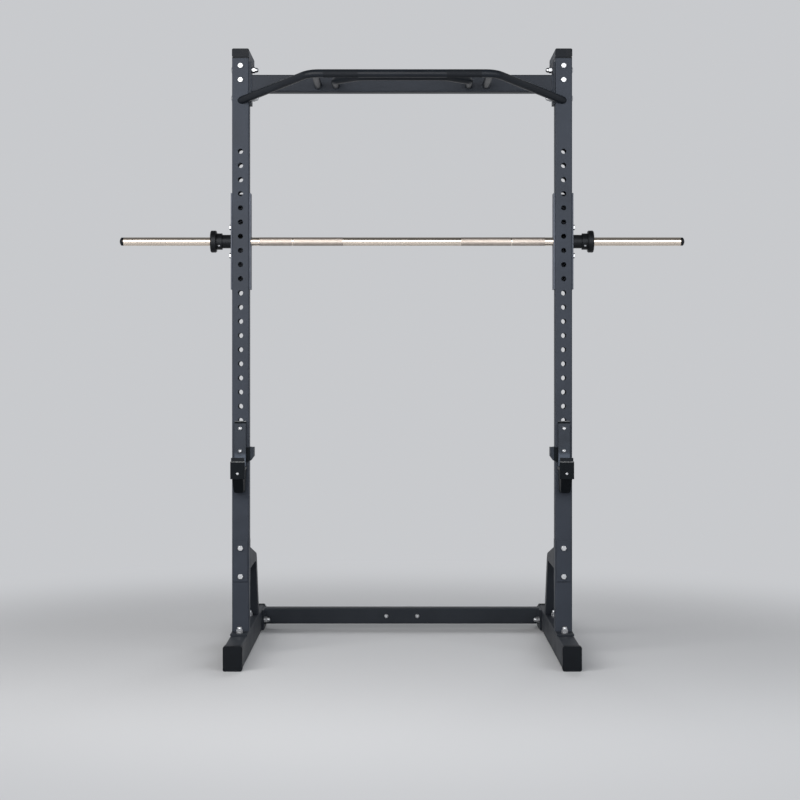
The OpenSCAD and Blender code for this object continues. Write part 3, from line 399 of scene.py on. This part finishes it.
def bead(path, size, verts, faces, closed):
    """A rippled bead along the path, added to the lists of points and faces."""
    pts = [Vector(p) for p in path]
    if closed:
        pts.append(pts[0])
    run = [0.0]
    for a, b in zip(pts, pts[1:]):
        run.append(run[-1] + (b - a).length)
    steps = max(4, round(run[-1] / BEAD_STEP))
    count = steps if closed else steps + 1
    base = len(verts)
    leg = 0
    for i in range(count):
        s = run[-1] * i / steps
        while leg < len(run) - 2 and s > run[leg + 1]:
            leg += 1
        a, b = pts[leg], pts[leg + 1]
        at = a.lerp(b, (s - run[leg]) / (run[leg + 1] - run[leg]))
        u, v = ring_frame((b - a).normalized())
        ripple = abs(math.cos(math.pi * s / RIPPLE_PITCH))
        wander = 1 + 0.06 * math.sin(s * 410.0) + 0.04 * math.sin(s * 173.0)
        r = size * (0.80 + 0.20 * ripple) * wander
        if not closed:
            r *= min(1.0, 0.45 + 300.0 * min(s, run[-1] - s))
        for k in range(BEAD_SIDES):
            w = 2 * math.pi * k / BEAD_SIDES
            verts.append(at + u * (r * math.cos(w)) + v * (r * math.sin(w)))
    for i in range(steps):
        this, following = base + i * BEAD_SIDES, base + (i + 1) % count * BEAD_SIDES
        for k in range(BEAD_SIDES):
            n = (k + 1) % BEAD_SIDES
            faces.append((this + k, this + n, following + n, following + k))
    if not closed:
        faces.append(tuple(base + k for k in reversed(range(BEAD_SIDES))))
        faces.append(tuple(base + (count - 1) * BEAD_SIDES + k for k in range(BEAD_SIDES)))


def line(a, b):
    """An open path from one point to another."""
    return [a, b], False


def loop_x(x, y0, y1, z0, z1, r=0.005):
    """A closed rectangle with round corners in the plane of constant x."""
    corners = ((y1 - r, z1 - r, 0), (y0 + r, z1 - r, 90),
               (y0 + r, z0 + r, 180), (y1 - r, z0 + r, 270))
    pts = []
    for cy, cz, start in corners:
        for i in range(5):
            a = math.radians(start + 22.5 * i)
            pts.append((x, cy + r * math.cos(a), cz + r * math.sin(a)))
    return pts, True


def circle_y(x, y, z, r):
    """A closed circle in the plane of constant y."""
    turns = [math.radians(a) for a in range(0, 360, 15)]
    return [(x + r * math.cos(a), y, z + r * math.sin(a)) for a in turns], True


def welds(name, paths, size=WELD_R):
    """One object with a bead along each path and along its mirror image in x = 0."""
    verts, faces = [], []
    for pts, closed in paths:
        for k in (1, -1):
            bead([(k * x, y, z) for x, y, z in pts], size, verts, faces, closed)
    mesh = bpy.data.meshes.new(name)
    mesh.from_pydata([tuple(v) for v in verts], [], faces)
    mesh.validate()
    for f in mesh.polygons:
        f.use_smooth = True
    mesh.materials.append(slate_weld)
    obj = bpy.data.objects.new(name, mesh)
    bpy.context.scene.collection.objects.link(obj)
    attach(obj, "frame")


def across(y, z):
    """An open path across the right upright's width."""
    return line((POST_IN + WELD_INSET, y, z), (POST_OUT - WELD_INSET, y, z))


half_tube = (POST_OUT - POST_IN) / 2
beam_lo, beam_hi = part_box("upper_beam")
beam_mid = (beam_lo[Z] + beam_hi[Z]) / 2
welds("beam_welds", [loop_x(beam_hi[X] - END_PLATE_T, POST_FRONT, POST_BACK,
                            beam_mid - half_tube, beam_mid + half_tube)])

floor_lo, floor_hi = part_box("floor_beam")
floor_y = (floor_lo[Y] + floor_hi[Y]) / 2
floor_face = floor_hi[X] - END_PLATE_T
floor_upper = floor_hi[Z] - WELD_INSET
floor_lower = span("right_foot", Z)[1] - FLOOR_TUBE
welds("floor_beam_welds", [
    line((floor_face, floor_y - half_tube, floor_upper),
         (floor_face, floor_y - half_tube, floor_lower)),
    line((floor_face, floor_y + half_tube, floor_upper),
         (floor_face, floor_y + half_tube, floor_lower)),
    line((floor_face, floor_y - half_tube + WELD_INSET, floor_lower),
         (floor_face, floor_y + half_tube - WELD_INSET, floor_lower)),
])

rear_face = POST_BACK + REAR_PLATE_T
welds("arm_welds", [across(rear_face, POST_TOP + TOP_PLATE_T)])
welds("base_welds", [
    across(POST_FRONT, POST_LOW),
    across(POST_BACK, POST_LOW),
    across(span("right_brace", Y)[1], POST_LOW),
    across(rear_face, POST_LOW + BRACE_TOP),
    across(rear_face, POST_LOW + BRACE_ARCH),
])

grip_lo, grip_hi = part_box("pullup_inner_bar")
grip_z = (grip_lo[Z] + grip_hi[Z]) / 2
grip_r = (grip_hi[Z] - grip_lo[Z]) / 2
welds("grip_welds", [
    circle_y(grip_hi[X] - grip_r, POST_FRONT, grip_z, grip_r),
    circle_y(sum(span("right_neutral_grip", X)) / 2, POST_FRONT, grip_z, grip_r),
], GRIP_WELD_R)

# ---- Floor, lights, world and camera ----

PALE = (0.58, 0.59, 0.61, 1.0)
FLOOR_LIT = (0.17, 0.17, 0.18, 1.0)
FLOOR_SEEN = (0.70, 0.71, 0.73, 1.0)
FLOOR_HALF = 40.0
FADE_FROM, FADE_TO = 0.9, 3.0
# How high the sky starts to darken and stops, as a direction's height, and its darkest level
DUSK_FROM, DUSK_TO, DUSK_LEVEL = 0.35, 0.75, 0.25
LIT_LEVEL = 0.36


def stage_floor():
    """A pale floor that turns into the background's tone far from the object. It lights the
    object with a darker colour than the one that shows."""
    m = Mat("floor_paint")
    path = m.node("ShaderNodeLightPath").outputs
    seen = m.math("MAXIMUM", path["Is Camera Ray"], path["Is Glossy Ray"])
    m.finish(m.mix(seen, FLOOR_LIT, FLOOR_SEEN), 0.8)
    far = m.node("ShaderNodeVectorMath", {0: m.coord}, operation="LENGTH").outputs["Value"]
    fade = m.ramp(far, FADE_FROM, FADE_TO, interpolation_type="SMOOTHERSTEP")
    fade = m.math("MULTIPLY", fade, seen)
    glow = m.node("ShaderNodeEmission", {"Color": PALE}).outputs[0]
    both = m.node("ShaderNodeMixShader", {0: fade, 1: m.bsdf.outputs[0], 2: glow}).outputs[0]
    m.put(m.find("OUTPUT_MATERIAL").inputs["Surface"], both)
    w = FLOOR_HALF
    mesh = bpy.data.meshes.new("floor")
    mesh.from_pydata([(-w, -w, 0), (w, -w, 0), (w, w, 0), (-w, w, 0)], [], [(0, 1, 2, 3)])
    mesh.materials.append(m.mat)
    obj = bpy.data.objects.new("floor", mesh)
    bpy.context.scene.collection.objects.link(obj)


def area(name, at, aim, size, power, color=(1, 1, 1), glossy=True):
    """A rectangular lamp at one point, turned to another."""
    light = bpy.data.lights.new(name, "AREA")
    light.shape = "RECTANGLE"
    light.size, light.size_y = size
    light.energy = power
    light.color = color
    obj = bpy.data.objects.new(name, light)
    obj.visible_glossy = glossy
    obj.location = at
    obj.rotation_euler = (Vector(aim) - Vector(at)).to_track_quat("-Z", "Y").to_euler()
    bpy.context.scene.collection.objects.link(obj)


def studio_world():
    """A pale background that darkens upwards. Rays that only light the object get less of it."""
    world = bpy.data.worlds.new("studio")
    bpy.context.scene.world = world
    world.use_nodes = True
    w = Nodes(world.node_tree)
    back = w.find("BACKGROUND")
    back.inputs["Color"].default_value = PALE
    path = w.node("ShaderNodeLightPath").outputs
    ray = w.node("ShaderNodeTexCoord").outputs["Generated"]
    height = w.node("ShaderNodeSeparateXYZ", {0: ray}).outputs["Z"]
    dusk = w.ramp(height, DUSK_FROM, DUSK_TO, 1.0, DUSK_LEVEL)
    seen = w.math("MAXIMUM", path["Is Camera Ray"], path["Is Glossy Ray"])
    seen = w.math("MAXIMUM", seen, path["Is Transmission Ray"])
    level = w.ramp(seen, 0.0, 1.0, LIT_LEVEL, 1.0)
    w.put(back.inputs["Strength"], w.math("MULTIPLY", dusk, level))


stage_floor()
area("key", (-1.45, -2.95, 2.15), (0, -0.2, 2.15), (3.9, 2.4), 118.0, (1.0, 0.985, 0.965))
area("fill", (1.8, -3.1, 2.05), (0, -0.2, 2.05), (3.2, 2.2), 56.0, (0.96, 0.98, 1.0))
area("rear", (0.6, 4.6, 3.4), (0, 0.2, 1.2), (3.2, 2.4), 110.0, glossy=False)
studio_world()

cam = bpy.data.cameras.new("camera")
cam.lens = 85.5
cam.sensor_width = 36.0
cam.shift_x = 0.0025
cam.shift_y = -0.04875
eye = bpy.data.objects.new("camera", cam)
eye.location = (-0.0145, -6.936, 1.042)
eye.rotation_euler = (math.radians(90), 0, 0)
bpy.context.scene.collection.objects.link(eye)
bpy.context.scene.camera = eye
bpy.context.scene.view_settings.view_transform = "Standard"
